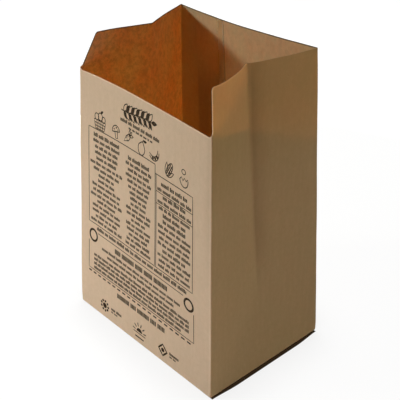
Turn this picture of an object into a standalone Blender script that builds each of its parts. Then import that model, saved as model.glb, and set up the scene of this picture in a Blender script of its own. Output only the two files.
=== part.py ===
"""An open block-bottom paper bag, folded and glued from one sheet of kraft paper.

Metres, +Z up. The origin is on the floor under the middle of the bottom. The front panel
faces -Y, the gusseted sides face -X and +X. The front panel is cut lower than the rest, so
the front edge of each gusset stands free above it.
"""

import math

import bmesh
import bpy
from mathutils import Vector

# The unfolded bag
WIDTH = 0.200  # front and back panels
DEPTH = 0.146  # gusseted sides
HEIGHT = 0.288  # back panel and gussets
FRONT_HEIGHT = 0.251  # front panel, up to its lower cut edge
SHEET = 0.0003  # wall

# Folds and cuts
CORNER_RADIUS = 0.0012  # the four upright creases
BOTTOM_CORNER_RADIUS = 0.0030  # the same creases where they meet the bottom
BOTTOM_CORNER_RISE = 0.010  # height over which the corner radius grows to that
BOTTOM_FOLD = 0.0012  # radius under the front and back panels
SIDE_TUCK_RISE = 0.0022  # the sides turn under from this height
SIDE_TUCK_INSET = 0.0014  # and meet the bottom this far in
CUT_FILLET = 0.0045  # where the front panel's top edge meets the gussets
FREE_CORNER_RADIUS = 0.0040  # top corners of the gussets' free edges

# Glued flaps under the bottom, and the lap of the back seam
FLAP = 0.0002  # how far each flap stands below the one before
FLAP_LAP = 0.024  # overlap of the two flaps
FLAP_MARGIN = 0.0005  # from a fold to the flap that starts there
SEAM_PLACE = 0.072  # from the back left crease to the middle of the lap
SEAM_WIDTH = 0.014
SEAM_SHORT = 0.0008  # the lap ends this far below the top edge
SEAM_STEP = 0.0003  # how far each of its edges stands out of the wall

# How the open bag stands: how far each upright crease leans by the top, in x and y
LEAN = {
    "front_left": (0.0075, 0.015),
    "front_right": (0.006, -0.012),
    "back_right": (-0.014, -0.020),
    "back_left": (-0.012, 0.0055),
}
FOLD_DIP = {"left": 0.0035, "right": 0.0018}  # how far a gusset fold's top end is below the creases'
FREE_LEAN = {"left": (0.012, 0.0085), "right": (-0.0015, 0.002)}  # free top corners, past LEAN
FREE_DROP = {"left": 0.0026, "right": 0.0}

# How far each top edge bows, where it bows most as a share of the way along it, and the power
# of the height that the bow follows down the panel
FRONT_BOW = 0.0042  # into the bag
FRONT_BOW_PEAK = 0.38  # from the left crease
BACK_BOW = 0.0070  # into the bag
BACK_BOW_PEAK = 0.47  # from the right crease
PANEL_BOW_POWER = 1.5
FRONT_HALF_BOW = {"left": 0.0015, "right": 0.0040}  # out of the bag
FRONT_HALF_PEAK = 0.42  # from the free edge
FRONT_HALF_POWER = 4
BACK_HALF_BOW = {"left": 0.0015, "right": 0.0028}  # out of the bag
BACK_HALF_PEAK = 0.5
BACK_HALF_POWER = 2

# How finely the surface is divided
EDGE_COLUMN = 0.0045  # the first column in from a rounded crease
SIDE_STEPS = 6  # columns in half a gusset, and rows up to the end of its fold
PANEL_STEPS = 8  # columns across the front and back panels
ROW_HEIGHT = 0.024  # above the bottom triangles
ROWS_PAST_CUT = 3  # between the front panel's cut and the top

BASE_Z = 2 * FLAP + SHEET / 2  # middle of the bottom sheet, with both flaps below it
HALF_DEPTH = DEPTH / 2  # a gusset's fold ends at this height, over the bottom triangle
CUT_ROW_HEIGHT = FRONT_HEIGHT + CUT_FILLET

ARC_MIDDLE = 1 - math.sqrt(0.5)  # a quarter arc's middle lies this share of its radius inside
LOW_FOLD = ((1.0, 0.0), (ARC_MIDDLE, ARC_MIDDLE))  # inset and height, as shares, going up

KRAFT = (0.46, 0.34, 0.23, 1.0)
KRAFT_ROUGHNESS = 0.85

BOTTOM_CORNERS = {
    "front_left": (-WIDTH / 2, -HALF_DEPTH),
    "front_right": (WIDTH / 2, -HALF_DEPTH),
    "back_right": (WIDTH / 2, HALF_DEPTH),
    "back_left": (-WIDTH / 2, HALF_DEPTH),
}
INTO_BAG = {
    "front": Vector((0, 1, 0)),
    "right": Vector((-1, 0, 0)),
    "back": Vector((0, -1, 0)),
    "left": Vector((1, 0, 0)),
}


def hump(place, peak):
    """0 at both ends, 1 at peak."""
    return math.sin(math.pi * place ** (math.log(0.5) / math.log(peak)))


def crease(corner, height):
    """A point of one of the four upright creases."""
    x, y = BOTTOM_CORNERS[corner]
    lean_x, lean_y = LEAN[corner]
    rise = height / HEIGHT
    return Vector((x + lean_x * rise, y + lean_y * rise, height))


def inward(first, second):
    """Level unit vector to the left of the way from first to second: into the bag."""
    way = second - first
    return Vector((-way.y, way.x, 0)).normalized()


def above_cut(height):
    """0 at the front panel's top edge, 1 at the back panel's."""
    return max(0.0, (height - FRONT_HEIGHT) / (HEIGHT - FRONT_HEIGHT))


def gusset_fold(side, height):
    """A point of a gusset's middle fold: half the paper's depth from both upright creases."""
    front = crease("front_" + side, height)
    back = crease("back_" + side, height)
    half_chord = (back - front).length / 2
    depth_in = math.sqrt(max(0.0, HALF_DEPTH**2 - half_chord**2))
    towards = inward(front, back) if side == "right" else inward(back, front)
    point = (front + back) / 2 + towards * depth_in
    point.z -= FOLD_DIP[side] * height / HEIGHT
    return point


def bottom_triangle_point(side, from_front, height):
    """Below the fold's end: a flat triangle between two slanting creases, and a strip each side."""
    top = gusset_fold(side, HALF_DEPTH)
    rise = height / HALF_DEPTH
    front_slant = crease("front_" + side, 0).lerp(top, rise)
    back_slant = crease("back_" + side, 0).lerp(top, rise)
    if from_front <= height:
        return crease("front_" + side, height).lerp(front_slant, from_front / height)
    if from_front >= DEPTH - height:
        from_back = DEPTH - from_front
        return crease("back_" + side, height).lerp(back_slant, from_back / height)
    return front_slant.lerp(back_slant, (from_front - height) / (DEPTH - 2 * height))


def gusset_point(side, from_front, height):
    if height < HALF_DEPTH:
        return bottom_triangle_point(side, from_front, height)
    fold = gusset_fold(side, height)
    if from_front <= HALF_DEPTH:
        free = crease("front_" + side, height)
        lean_x, lean_y = FREE_LEAN[side]
        free += Vector((lean_x, lean_y, -FREE_DROP[side])) * above_cut(height)
        across = from_front / HALF_DEPTH
        bow = FRONT_HALF_BOW[side] * hump(across, FRONT_HALF_PEAK)
        return free.lerp(fold, across) - INTO_BAG[side] * bow * (height / HEIGHT) ** FRONT_HALF_POWER
    back = crease("back_" + side, height)
    across = (from_front - HALF_DEPTH) / HALF_DEPTH
    bow = BACK_HALF_BOW[side] * hump(across, BACK_HALF_PEAK)
    return fold.lerp(back, across) - INTO_BAG[side] * bow * (height / HEIGHT) ** BACK_HALF_POWER


def front_point(from_left, height):
    left = crease("front_left", height)
    right = crease("front_right", height)
    across = from_left / WIDTH
    bow = FRONT_BOW * hump(across, FRONT_BOW_PEAK) * (height / FRONT_HEIGHT) ** PANEL_BOW_POWER
    return left.lerp(right, across) + inward(left, right) * bow


def back_point(from_right, height):
    right = crease("back_right", height)
    left = crease("back_left", height)
    across = from_right / WIDTH
    bow = BACK_BOW * hump(across, BACK_BOW_PEAK) * (height / HEIGHT) ** PANEL_BOW_POWER
    return right.lerp(left, across) + inward(right, left) * bow


def wall_point(panel, along, height):
    """Panels go round anticlockwise from above, and along runs that way on each."""
    if panel == "front":
        return front_point(along, height)
    if panel == "right":
        return gusset_point("right", along, height)
    if panel == "back":
        return back_point(along, height)
    return gusset_point("left", DEPTH - along, height)


def panel_length(panel):
    return WIDTH if panel in ("front", "back") else DEPTH


def corner_radius(height):
    low = max(0.0, 1 - height / BOTTOM_CORNER_RISE)
    return CORNER_RADIUS + (BOTTOM_CORNER_RADIUS - CORNER_RADIUS) * low


def arc_drop(distance, radius):
    """How far a rounded corner falls short of the square one, at a distance from its side."""
    inside = max(0.0, radius - distance)
    return radius - math.sqrt(radius**2 - inside**2)


class Column:
    """One upright line of points on a panel, at a distance along from the panel's first crease."""

    def __init__(self, panel, along, top, low_rise, low_inset):
        self.panel = panel
        self.along = along
        self.top = top
        self.low_rise = low_rise
        self.low_inset = low_inset

    def place(self, height):
        """Near a crease the column keeps clear of its radius, which grows towards the bottom."""
        length = panel_length(self.panel)
        near = min(self.along, length - self.along)
        if near > EDGE_COLUMN:
            return self.along
        shift = corner_radius(height) - CORNER_RADIUS
        return self.along + shift if self.along == near else self.along - shift

    def point(self, height):
        return wall_point(self.panel, self.place(height), height)

    def under(self, share):
        """Level move into the bag by a share of the low inset."""
        return INTO_BAG[self.panel] * self.low_inset * share


class CornerColumn:
    """The middle of a rounded upright crease, between the columns on either side of it."""

    def __init__(self, corner, before, after, top):
        self.corner = corner
        self.before = before
        self.after = after
        self.top = top
        self.panel = "corner"
        self.low_rise = (before.low_rise + after.low_rise) / 2

    def point(self, height):
        sharp = crease(self.corner, height)
        reach = self.before.point(height) + self.after.point(height) - 2 * sharp
        return sharp + reach * ARC_MIDDLE

    def under(self, share):
        return (self.before.under(share) + self.after.under(share)) * (1 - ARC_MIDDLE)


def side_columns(panel):
    """Front and back ends differ: only the front end has a free edge, with a rounded top corner."""
    spots = [CORNER_RADIUS, (CORNER_RADIUS + EDGE_COLUMN) / 2, EDGE_COLUMN]
    spots += [HALF_DEPTH * step / SIDE_STEPS for step in range(1, SIDE_STEPS + 1)]
    spots += [DEPTH - HALF_DEPTH * step / SIDE_STEPS for step in range(SIDE_STEPS - 1, 0, -1)]
    spots += [DEPTH - EDGE_COLUMN, DEPTH - CORNER_RADIUS]
    columns = []
    for spot in spots:
        top = HEIGHT - arc_drop(spot - CORNER_RADIUS, FREE_CORNER_RADIUS)
        along = spot if panel == "right" else DEPTH - spot
        columns.append(Column(panel, along, top, SIDE_TUCK_RISE, SIDE_TUCK_INSET))
    return columns if panel == "right" else columns[::-1]


def flat_columns(panel):
    inner = WIDTH - 2 * EDGE_COLUMN
    spots = [CORNER_RADIUS]
    spots += [EDGE_COLUMN + inner * step / PANEL_STEPS for step in range(PANEL_STEPS + 1)]
    spots.append(WIDTH - CORNER_RADIUS)
    columns = []
    for spot in spots:
        top = HEIGHT
        if panel == "front":
            near = min(spot, WIDTH - spot)
            top = FRONT_HEIGHT + arc_drop(near, CUT_FILLET)
        columns.append(Column(panel, spot, top, BOTTOM_FOLD, BOTTOM_FOLD))
    return columns


def all_columns():
    """Every column, anticlockwise from the front left crease, with a corner one between panels."""
    panels = [
        flat_columns("front"),
        side_columns("right"),
        flat_columns("back"),
        side_columns("left"),
    ]
    corners = ["front_right", "back_right", "back_left", "front_left"]
    columns = []
    for number, corner in enumerate(corners):
        before, after = panels[number][-1], panels[(number + 1) % 4][0]
        top = HEIGHT
        if corner.startswith("front"):
            top = FRONT_HEIGHT + arc_drop(0, CUT_FILLET) / 2
        columns += panels[number] + [CornerColumn(corner, before, after, top)]
    return columns


def row_heights():
    """Heights of the rows up to the front panel's cut, and of those between it and the top."""
    to_cut = [HALF_DEPTH * step / SIDE_STEPS for step in range(1, SIDE_STEPS + 1)]
    count = round((CUT_ROW_HEIGHT - HALF_DEPTH) / ROW_HEIGHT)
    step_up = (CUT_ROW_HEIGHT - HALF_DEPTH) / count
    to_cut += [HALF_DEPTH + step_up * step for step in range(1, count + 1)]
    above = (HEIGHT - CUT_ROW_HEIGHT) / ROWS_PAST_CUT
    past_cut = [CUT_ROW_HEIGHT + above * step for step in range(1, ROWS_PAST_CUT)]
    return to_cut, past_cut


def column_points(column, to_cut, past_cut):
    """From the bottom's edge, round the low fold and up the wall to the column's top."""
    start = column.point(column.low_rise)
    points = []
    for inset, rise in LOW_FOLD:
        bend = start + column.under(inset)
        bend.z = column.low_rise * rise
        points.append(bend)
    points.append(start)
    if column.top < CUT_ROW_HEIGHT:
        return points + [column.point(height) for height in to_cut[:-1] + [column.top]]
    return points + [column.point(height) for height in to_cut + past_cut + [column.top]]


def slant_goes_up(column, neighbour, row):
    """Whether a slanting crease crosses this cell from its low left to its high right corner."""
    if column.panel != neighbour.panel or column.panel not in ("left", "right"):
        return None
    middle = (column.along + neighbour.along) / 2
    first_half = middle < HALF_DEPTH
    near = min(middle, DEPTH - middle)
    step = HALF_DEPTH / SIDE_STEPS
    low = row * step if row else EDGE_COLUMN
    if low < near < (row + 1) * step:
        return first_half
    return None


def wall_surface():
    mesh = bmesh.new()
    columns = all_columns()
    to_cut, past_cut = row_heights()
    grid = []
    for column in columns:
        points = column_points(column, to_cut, past_cut)
        grid.append([mesh.verts.new(point + Vector((0, 0, BASE_Z))) for point in points])
    for number, line in enumerate(grid):
        beside = (number + 1) % len(grid)
        following = grid[beside]
        for row in range(min(len(line), len(following)) - 1):
            a, b = line[row], following[row]
            c, d = following[row + 1], line[row + 1]
            up = slant_goes_up(columns[number], columns[beside], row - len(LOW_FOLD))
            if up is None:
                mesh.faces.new((a, b, c, d))
            elif up:
                mesh.faces.new((a, b, c))
                mesh.faces.new((a, c, d))
            else:
                mesh.faces.new((a, b, d))
                mesh.faces.new((b, c, d))
    mesh.faces.new([line[0] for line in reversed(grid)])
    bmesh.ops.triangulate(mesh, faces=mesh.faces[:])
    return mesh


def prism(outline, low, high):
    """An upright block on a level outline given anticlockwise from above."""
    mesh = bmesh.new()
    bottom = [mesh.verts.new((x, y, low)) for x, y in outline]
    face = mesh.faces.new(reversed(bottom))
    raised = bmesh.ops.extrude_face_region(mesh, geom=[face])
    moved = [item for item in raised["geom"] if isinstance(item, bmesh.types.BMVert)]
    bmesh.ops.translate(mesh, verts=moved, vec=(0, 0, high - low))
    bmesh.ops.recalc_face_normals(mesh, faces=mesh.faces[:])
    return mesh


def flap_outline(side):
    """A trapezium from the fold to just past the middle, its ends cut at 45 degrees."""
    fold_y = HALF_DEPTH - BOTTOM_FOLD - FLAP_MARGIN
    half = WIDTH / 2 - SIDE_TUCK_INSET - FLAP_MARGIN
    edge_y = -FLAP_LAP / 2
    end_half = half - (fold_y - edge_y)
    outline = [(half, fold_y), (-half, fold_y), (-end_half, edge_y), (end_half, edge_y)]
    if side == "back":
        return outline
    return [(-x, -y) for x, y in outline]


def seam_lap():
    """The back seam: one end of the sheet over the other, so its edge shows inside at one side
    of the lap and outside at the other."""
    to_cut, past_cut = row_heights()
    heights = [BOTTOM_FOLD] + to_cut + past_cut + [HEIGHT - SEAM_SHORT]
    inner = WIDTH - SEAM_PLACE - SEAM_WIDTH / 2
    outer = inner + SEAM_WIDTH
    proud = SHEET / 2 + SEAM_STEP
    mesh = bmesh.new()
    rings = []
    for height in heights:
        into = inward(crease("back_right", height), crease("back_left", height))
        corners = [
            back_point(inner, height) + into * proud,
            back_point(inner, height),
            back_point(outer, height) - into * proud,
            back_point(outer, height),
        ]
        rings.append([mesh.verts.new(point + Vector((0, 0, BASE_Z))) for point in corners])
    for low, high in zip(rings, rings[1:]):
        for side in range(4):
            after = (side + 1) % 4
            mesh.faces.new((low[side], low[after], high[after], high[side]))
    mesh.faces.new(reversed(rings[0]))
    mesh.faces.new(rings[-1])
    bmesh.ops.triangulate(mesh, faces=mesh.faces[:])
    bmesh.ops.recalc_face_normals(mesh, faces=mesh.faces[:])
    return mesh


def new_object(name, mesh, collection):
    data = bpy.data.meshes.new(name)
    mesh.to_mesh(data)
    mesh.free()
    made = bpy.data.objects.new(name, data)
    collection.objects.link(made)
    return made


def new_collection(name):
    made = bpy.data.collections.new(name)
    bpy.context.scene.collection.children.link(made)
    return made


def kraft_material():
    material = bpy.data.materials.new("kraft_paper")
    material.use_nodes = True
    shader = material.node_tree.nodes["Principled BSDF"]
    shader.inputs["Base Color"].default_value = KRAFT
    shader.inputs["Roughness"].default_value = KRAFT_ROUGHNESS
    shader.inputs["Metallic"].default_value = 0.0
    return material


def add_union(target, helper):
    helper.hide_render = True
    helper.display_type = "WIRE"
    union = target.modifiers.new(helper.name, "BOOLEAN")
    union.operation = "UNION"
    union.solver = "EXACT"
    union.object = helper


def main():
    for old in list(bpy.data.objects):
        bpy.data.objects.remove(old)
    parts = new_collection("paper_bag")
    helpers = new_collection("union_helpers")

    bag = new_object("paper_bag", wall_surface(), parts)
    bag.data.materials.append(kraft_material())
    wall = bag.modifiers.new("wall", "SOLIDIFY")
    wall.thickness = SHEET
    wall.offset = 0
    wall.use_even_offset = True

    front_flap = prism(flap_outline("front"), FLAP, BASE_Z)
    back_flap = prism(flap_outline("back"), 0, BASE_Z)
    add_union(bag, new_object("front_flap", front_flap, helpers))
    add_union(bag, new_object("back_flap", back_flap, helpers))
    add_union(bag, new_object("seam_lap", seam_lap(), helpers))


main()
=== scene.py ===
import math
import random

import bmesh
import bpy
from mathutils import Matrix, Vector, noise

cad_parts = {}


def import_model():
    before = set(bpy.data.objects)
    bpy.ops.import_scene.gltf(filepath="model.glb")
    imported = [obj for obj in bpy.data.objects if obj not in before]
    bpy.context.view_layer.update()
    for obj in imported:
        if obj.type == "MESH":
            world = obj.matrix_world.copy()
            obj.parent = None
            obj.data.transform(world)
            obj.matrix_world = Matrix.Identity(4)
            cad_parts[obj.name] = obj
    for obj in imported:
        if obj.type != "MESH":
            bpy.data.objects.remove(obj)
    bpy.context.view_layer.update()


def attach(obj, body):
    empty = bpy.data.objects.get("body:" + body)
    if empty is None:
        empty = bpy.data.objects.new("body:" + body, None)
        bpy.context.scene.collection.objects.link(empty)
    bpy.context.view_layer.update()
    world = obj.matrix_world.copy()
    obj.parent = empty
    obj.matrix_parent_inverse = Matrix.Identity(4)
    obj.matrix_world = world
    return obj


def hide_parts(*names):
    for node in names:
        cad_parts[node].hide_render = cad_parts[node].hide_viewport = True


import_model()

# Lengths are in metres. The folded sheet has the sizes of the frame's solid.
WIDTH = 0.200
DEPTH = 0.146
HEIGHT = 0.288
FRONT_HEIGHT = 0.251
SHEET = 0.0003

CORNER_RADIUS = 0.0012
BOTTOM_CORNER_RADIUS = 0.0030
BOTTOM_CORNER_RISE = 0.010
FOLD_RADIUS = 0.0016  # of the gussets' middle folds
BOTTOM_FOLD = 0.0012
SIDE_TUCK_RISE = 0.0022
SIDE_TUCK_INSET = 0.0014
CUT_FILLET = 0.0045
FREE_CORNER_RADIUS = {"left": 0.0018, "right": 0.0022}

FLAP = 0.0002
FLAP_LAP = 0.024
FLAP_MARGIN = 0.0005
SEAM_PLACE = 0.072
SEAM_WIDTH = 0.014
SEAM_SHORT = 0.0008
SEAM_STEP = 0.0003

LEAN = {
    "front_left": (0.0075, 0.015),
    "front_right": (0.006, -0.012),
    "back_right": (-0.014, -0.020),
    "back_left": (-0.012, 0.0055),
}
FOLD_DIP = {"left": 0.0035, "right": 0.0018}
FREE_LEAN = {"left": (0.012, 0.0085), "right": (-0.0025, 0.001)}
FREE_DROP = {"left": 0.0026, "right": 0.0}

FRONT_BOW = 0.0042
FRONT_BOW_PEAK = 0.38
BACK_BOW = 0.0070
BACK_BOW_PEAK = 0.47
PANEL_BOW_POWER = 1.5
FRONT_HALF_BOW = {"left": 0.0015, "right": 0.0040}
FRONT_HALF_PEAK = 0.42
FRONT_HALF_POWER = 4
BACK_HALF_BOW = {"left": 0.0015, "right": 0.0028}
BACK_HALF_PEAK = 0.5
BACK_HALF_POWER = 2
FOLD_MEMORY = {"left": 0.0, "right": 0.0013}  # the swell behind a gusset's fold, in the scene only
FOLD_MEMORY_REACH = 0.030
FOLD_MEMORY_FROM = 0.080
FOLD_MEMORY_FULL = 0.130

# Kept on the sheet's points, for painted shade and painted highlights along the edges: 1 at an upper edge, less by 1
# with each EDGE_REACH away from it
SHADE_EDGE = "painted_shade_edge"
HIGHLIGHT_EDGE = "painted_highlight_edge"
EDGE_REACH = 0.0014
FAR_FROM_EDGE = -20.0

# Kept on the sheet's points too: 1 on one part of the sheet, 0 elsewhere
ON_BACK = "on_back"
ON_LEFT_BACK_HALF = "on_left_back_half"
ON_RIGHT = "on_right"

# And how much paler the outer face is beside the front panel's right crease, as a painted highlight, or darker, below
# 0, as painted shade
CREASE_LIGHT = "painted_crease_light"
CREASE_HIGHLIGHT = 0.15  # a painted highlight on the pale line that folding leaves
CREASE_HIGHLIGHT_REACH = (0.0018, 0.0034)
SHOULDER_SHADE = -0.15  # painted shade: high up, the panel turns away from the light before it gets to the crease
SHOULDER_REACH = (0.0016, 0.0100)
SHOULDER_HEIGHTS = (0.09, 0.19)

# How finely the sheet is divided
CREASE_ZONE = 0.009  # columns are closer together this near to a crease
FINE_STEP = 0.0008
COARSE_STEP = 0.003
ARC_COLUMNS = 3
LOW_FOLD_ROWS = 4
SQUEEZED_FROM = 0.225  # the front panel's rows close up above this height to end at its cut

# The paper's own unevenness: depth and size of its waves
WAVES = ((0.00040, 0.075), (0.00012, 0.024))
FREE_EDGE_WAVE = (0.0005, 0.030)
FLAT_BELOW = 0.004
WAVY_FROM = 0.030
SOFTENING_PASSES = 14
SOFTENED_TO = 0.100

BASE_Z = 2 * FLAP + SHEET / 2
HALF_DEPTH = DEPTH / 2
CUT_ROW_HEIGHT = FRONT_HEIGHT + CUT_FILLET

BOTTOM_CORNERS = {
    "front_left": (-WIDTH / 2, -HALF_DEPTH),
    "front_right": (WIDTH / 2, -HALF_DEPTH),
    "back_right": (WIDTH / 2, HALF_DEPTH),
    "back_left": (-WIDTH / 2, HALF_DEPTH),
}
INTO_BAG = {
    "front": Vector((0, 1, 0)),
    "right": Vector((-1, 0, 0)),
    "back": Vector((0, -1, 0)),
    "left": Vector((1, 0, 0)),
}

MM = 0.001


def hump(place, peak):
    """0 at both ends, 1 at peak."""
    return math.sin(math.pi * place ** (math.log(0.5) / math.log(peak)))


def ramp(value, low, high):
    """0 below low, 1 above high, smooth between."""
    share = min(1.0, max(0.0, (value - low) / (high - low)))
    return share * share * (3 - 2 * share)


def crease(corner, height):
    x, y = BOTTOM_CORNERS[corner]
    lean_x, lean_y = LEAN[corner]
    rise = height / HEIGHT
    return Vector((x + lean_x * rise, y + lean_y * rise, height))


def inward(first, second):
    way = second - first
    return Vector((-way.y, way.x, 0)).normalized()


def fold_memory(side, from_fold, height):
    """The paper's swell just behind the fold: steep beside it, then levelling out."""
    share = min(1.0, from_fold / FOLD_MEMORY_REACH)
    return FOLD_MEMORY[side] * 6.75 * share * (1 - share) ** 2 * ramp(height, FOLD_MEMORY_FROM, FOLD_MEMORY_FULL)


def above_cut(height):
    return max(0.0, (height - FRONT_HEIGHT) / (HEIGHT - FRONT_HEIGHT))


def gusset_fold(side, height):
    front = crease("front_" + side, height)
    back = crease("back_" + side, height)
    half_chord = (back - front).length / 2
    depth_in = math.sqrt(max(0.0, HALF_DEPTH**2 - half_chord**2))
    towards = inward(front, back) if side == "right" else inward(back, front)
    point = (front + back) / 2 + towards * depth_in
    point.z -= FOLD_DIP[side] * height / HEIGHT
    return point


def bottom_triangle_point(side, from_front, height):
    top = gusset_fold(side, HALF_DEPTH)
    rise = height / HALF_DEPTH
    front_slant = crease("front_" + side, 0).lerp(top, rise)
    back_slant = crease("back_" + side, 0).lerp(top, rise)
    if from_front <= height:
        return crease("front_" + side, height).lerp(front_slant, from_front / height)
    if from_front >= DEPTH - height:
        return crease("back_" + side, height).lerp(back_slant, (DEPTH - from_front) / height)
    return front_slant.lerp(back_slant, (from_front - height) / (DEPTH - 2 * height))


def gusset_point(side, from_front, height):
    if height < HALF_DEPTH:
        return bottom_triangle_point(side, from_front, height)
    fold = gusset_fold(side, height)
    if from_front <= HALF_DEPTH:
        free = crease("front_" + side, height)
        lean_x, lean_y = FREE_LEAN[side]
        free += Vector((lean_x, lean_y, -FREE_DROP[side])) * above_cut(height)
        across = from_front / HALF_DEPTH
        bow = FRONT_HALF_BOW[side] * hump(across, FRONT_HALF_PEAK)
        return free.lerp(fold, across) - INTO_BAG[side] * bow * (height / HEIGHT) ** FRONT_HALF_POWER
    back = crease("back_" + side, height)
    across = (from_front - HALF_DEPTH) / HALF_DEPTH
    bow = BACK_HALF_BOW[side] * hump(across, BACK_HALF_PEAK) * (height / HEIGHT) ** BACK_HALF_POWER
    bow += fold_memory(side, from_front - HALF_DEPTH, height)
    return fold.lerp(back, across) - INTO_BAG[side] * bow


def front_point(from_left, height):
    left = crease("front_left", height)
    right = crease("front_right", height)
    across = from_left / WIDTH
    bow = FRONT_BOW * hump(across, FRONT_BOW_PEAK) * (height / FRONT_HEIGHT) ** PANEL_BOW_POWER
    return left.lerp(right, across) + inward(left, right) * bow


def back_point(from_right, height):
    right = crease("back_right", height)
    left = crease("back_left", height)
    across = from_right / WIDTH
    bow = BACK_BOW * hump(across, BACK_BOW_PEAK) * (height / HEIGHT) ** PANEL_BOW_POWER
    return right.lerp(left, across) + inward(right, left) * bow


def wall_point(panel, along, height):
    """Panels go round anticlockwise from above, and along runs that way on each."""
    if panel == "front":
        return front_point(along, height)
    if panel == "right":
        return gusset_point("right", along, height)
    if panel == "back":
        return back_point(along, height)
    return gusset_point("left", DEPTH - along, height)


def panel_length(panel):
    return WIDTH if panel in ("front", "back") else DEPTH


def corner_radius(height):
    low = max(0.0, 1 - height / BOTTOM_CORNER_RISE)
    return CORNER_RADIUS + (BOTTOM_CORNER_RADIUS - CORNER_RADIUS) * low


def arc_drop(distance, radius):
    """How far a rounded corner falls short of the square one, at a distance from its side."""
    inside = max(0.0, radius - distance)
    return radius - math.sqrt(radius**2 - inside**2)


def between(start, control, end, share):
    """A point of the rounded way from start to end past a sharp corner at control."""
    return start.lerp(control, share).lerp(control.lerp(end, share), share)


class Column:
    """One upright line of points on a panel, at a distance along from the panel's first crease."""

    def __init__(self, panel, along):
        self.panel = panel
        self.corner = ""
        self.along = along
        self.near = min(along, panel_length(panel) - along)
        self.top = HEIGHT
        if panel == "front":
            self.top = FRONT_HEIGHT + arc_drop(self.near, CUT_FILLET)
        elif panel in ("left", "right"):
            from_front = along if panel == "right" else DEPTH - along
            self.top = HEIGHT - arc_drop(from_front - CORNER_RADIUS, FREE_CORNER_RADIUS[panel])
        flat = panel in ("front", "back")
        self.low_rise = BOTTOM_FOLD if flat else SIDE_TUCK_RISE
        self.low_inset = BOTTOM_FOLD if flat else SIDE_TUCK_INSET

    def place(self, height):
        """Near a crease the columns keep clear of its radius, which grows towards the bottom."""
        if self.near >= CREASE_ZONE:
            return self.along
        radius = corner_radius(height)
        share = (self.near - CORNER_RADIUS) / (CREASE_ZONE - CORNER_RADIUS)
        near = radius + (CREASE_ZONE - radius) * share
        return near if self.along == self.near else panel_length(self.panel) - near

    def point(self, height):
        if self.panel in ("left", "right") and height >= HALF_DEPTH:
            from_fold = self.along - HALF_DEPTH
            if abs(from_fold) < FOLD_RADIUS:
                start = wall_point(self.panel, HALF_DEPTH - FOLD_RADIUS, height)
                fold = wall_point(self.panel, HALF_DEPTH, height)
                end = wall_point(self.panel, HALF_DEPTH + FOLD_RADIUS, height)
                return between(start, fold, end, 0.5 + from_fold / FOLD_RADIUS / 2)
        return wall_point(self.panel, self.place(height), height)

    def under(self, share):
        return INTO_BAG[self.panel] * self.low_inset * share


class CornerColumn:
    """A line of points on a rounded upright crease, a share of the way between two panels."""

    def __init__(self, corner, before, after, share):
        self.corner = corner
        self.before = before
        self.after = after
        self.share = share
        self.panel = "corner"
        self.near = 0.0
        self.top = HEIGHT
        if corner == "front_right":
            self.top = FRONT_HEIGHT + arc_drop(CORNER_RADIUS * (1 - share), CUT_FILLET)
        elif corner == "front_left":
            self.top = FRONT_HEIGHT + arc_drop(CORNER_RADIUS * share, CUT_FILLET)
        self.low_rise = before.low_rise + (after.low_rise - before.low_rise) * share

    def point(self, height):
        start, end = self.before.point(height), self.after.point(height)
        return between(start, crease(self.corner, height), end, self.share)

    def under(self, share):
        turn = self.share * math.pi / 2
        return self.before.under(share) * math.cos(turn) + self.after.under(share) * math.sin(turn)


def spots_from_crease():
    """Distances from a crease: close together near it, then wide apart."""
    spots = [CORNER_RADIUS]
    while spots[-1] < CREASE_ZONE:
        spots.append(spots[-1] + FINE_STEP)
    return spots


def panel_columns(panel):
    length = panel_length(panel)
    edge = spots_from_crease()
    inner = length - 2 * edge[-1]
    if panel in ("front", "back"):
        count = round(inner / COARSE_STEP)
        middle = [edge[-1] + inner * step / count for step in range(1, count)]
    else:
        half = HALF_DEPTH - edge[-1] - FOLD_RADIUS
        count = round(half / COARSE_STEP)
        middle = [edge[-1] + half * step / count for step in range(1, count + 1)]
        middle += [HALF_DEPTH - FOLD_RADIUS / 2, HALF_DEPTH, HALF_DEPTH + FOLD_RADIUS / 2]
        middle += [length - edge[-1] - half * step / count for step in range(count, 0, -1)]
    return [Column(panel, spot) for spot in edge + middle + [length - spot for spot in reversed(edge)]]


def all_columns():
    """Every column, anticlockwise from the front left crease."""
    panels = [panel_columns(panel) for panel in ("front", "right", "back", "left")]
    columns = []
    for number, corner in enumerate(("front_right", "back_right", "back_left", "front_left")):
        before, after = panels[number][-1], panels[(number + 1) % 4][0]
        columns += panels[number]
        for step in range(1, ARC_COLUMNS + 1):
            columns.append(CornerColumn(corner, before, after, step / (ARC_COLUMNS + 1)))
    return columns


def spaced(low, high, step):
    count = round((high - low) / step)
    return [low + (high - low) * number / count for number in range(1, count + 1)]


def fitted(height, top):
    """A row's height in a column: rows close up under a top that is lower than the others'."""
    if top <= CUT_ROW_HEIGHT:
        share = (height - SQUEEZED_FROM) / (CUT_ROW_HEIGHT - SQUEEZED_FROM)
        return height if share < 0 else SQUEEZED_FROM + (top - SQUEEZED_FROM) * share
    share = (height - CUT_ROW_HEIGHT) / (HEIGHT - CUT_ROW_HEIGHT)
    return height if share < 0 else CUT_ROW_HEIGHT + (top - CUT_ROW_HEIGHT) * share


def column_points(column, to_cut, past_cut):
    """From the bottom's edge, round the low fold and up the wall to the column's top."""
    start = column.point(column.low_rise)
    points = []
    for step in range(LOW_FOLD_ROWS):
        turn = math.pi / 2 * step / LOW_FOLD_ROWS
        bend = start + column.under(1 - math.sin(turn))
        bend.z = column.low_rise * (1 - math.cos(turn))
        points.append(bend)
    points.append(start)
    rows = to_cut if column.top < CUT_ROW_HEIGHT - 1e-6 else to_cut + past_cut
    return points + [column.point(fitted(height, column.top)) for height in rows]


def relief(point, above_base):
    """How far the paper stands out of its even form at a point."""
    depth = sum(size * noise.noise(point / length) for size, length in WAVES)
    size, length = FREE_EDGE_WAVE
    depth += size * above_cut(above_base) * noise.noise(point / length)
    return depth * ramp(above_base, FLAT_BELOW, WAVY_FROM)


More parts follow.
